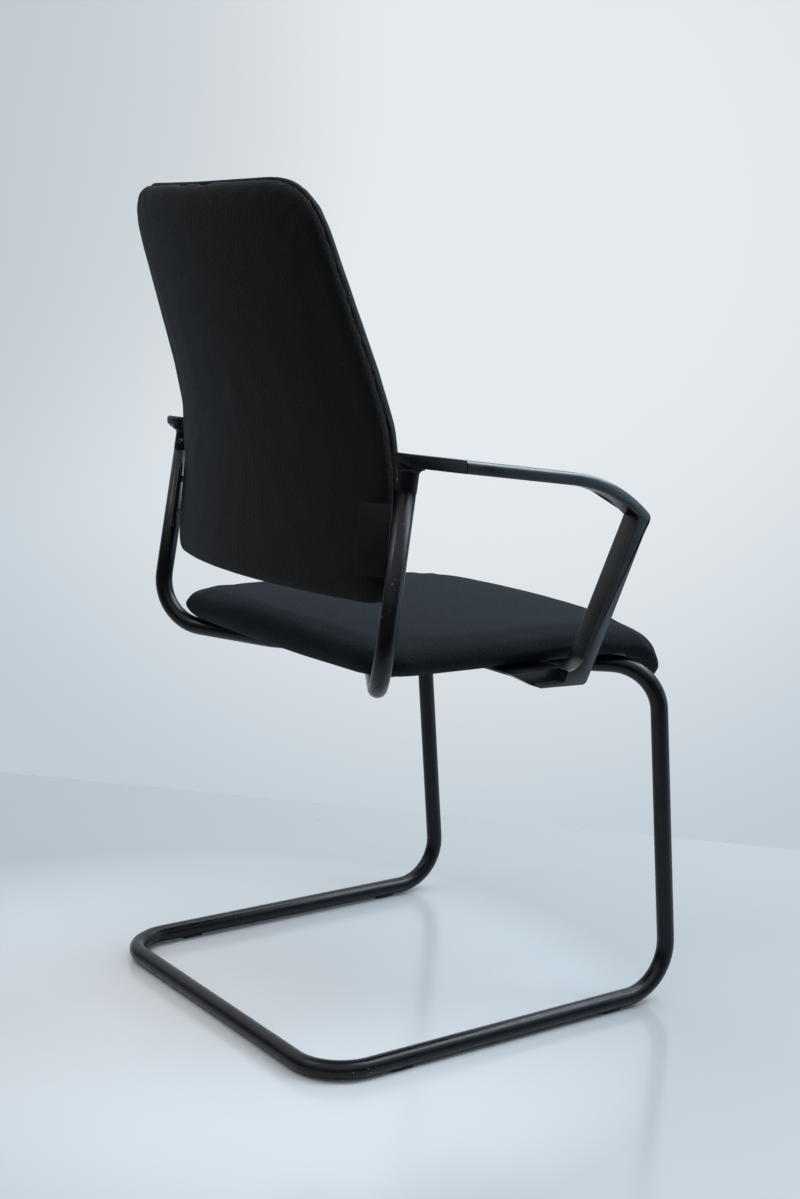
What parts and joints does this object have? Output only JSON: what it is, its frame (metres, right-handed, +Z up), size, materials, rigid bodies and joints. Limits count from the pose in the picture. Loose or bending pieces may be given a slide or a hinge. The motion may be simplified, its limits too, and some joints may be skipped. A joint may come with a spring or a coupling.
{
  "type": "sled base visitor chair",
  "caption": "Sled base visitor chair with a bent tube cantilever frame, padded seat, high padded back and loop arms that sleeve into the frame's uprights",
  "frame": {"origin": "on the floor, at the centre of the bounding box", "axes": "+Z up, the sitter faces -Y, the sitter's right is -X"},
  "size_m": [0.54, 0.5756, 0.9891],
  "materials": {
    "tube_coat": "satin black powder coat",
    "plate_coat": "matt black powder coat",
    "arm_plastic": "fine grained satin",
    "glide_plastic": "matt moulded",
    "seat_cloth": "fine woven, matt",
    "back_cloth": "fine woven, matt",
    "board_paint": "matt black stain on moulded ply",
    "screw_steel": "black oxide"
  },
  "bodies": {
    "root": {"frame_tube_right": "tube_coat", "frame_tube_left": "tube_coat", "frame_joint_plug": "screw_steel", "glide_rear_right": "glide_plastic", "glide_rear_left": "glide_plastic", "glide_front_right": "glide_plastic", "glide_front_left": "glide_plastic", "seat_bearer_rear": "plate_coat", "seat_bearer_front": "plate_coat", "seat_shell": "board_paint", "seat_cushion": "seat_cloth", "seat_screw_rear_right": "screw_steel", "seat_screw_rear_left": "screw_steel", "seat_screw_front_right": "screw_steel", "seat_screw_front_left": "screw_steel", "arm_foot_screw_rear_right": "screw_steel", "arm_foot_screw_rear_left": "screw_steel", "arm_foot_screw_front_right": "screw_steel", "arm_foot_screw_front_left": "screw_steel", "back_panel": "back_cloth", "back_board": "board_paint", "back_cushion": "back_cloth", "back_ear_right": "plate_coat", "back_ear_left": "plate_coat", "back_stud_lower_right": "screw_steel", "back_stud_lower_left": "screw_steel", "back_stud_upper_right": "screw_steel", "back_stud_upper_left": "screw_steel", "arm_connector_right": "arm_plastic", "arm_connector_left": "arm_plastic", "arm_loop_right": "arm_plastic", "arm_loop_left": "arm_plastic"}
  },
  "joints": []
}
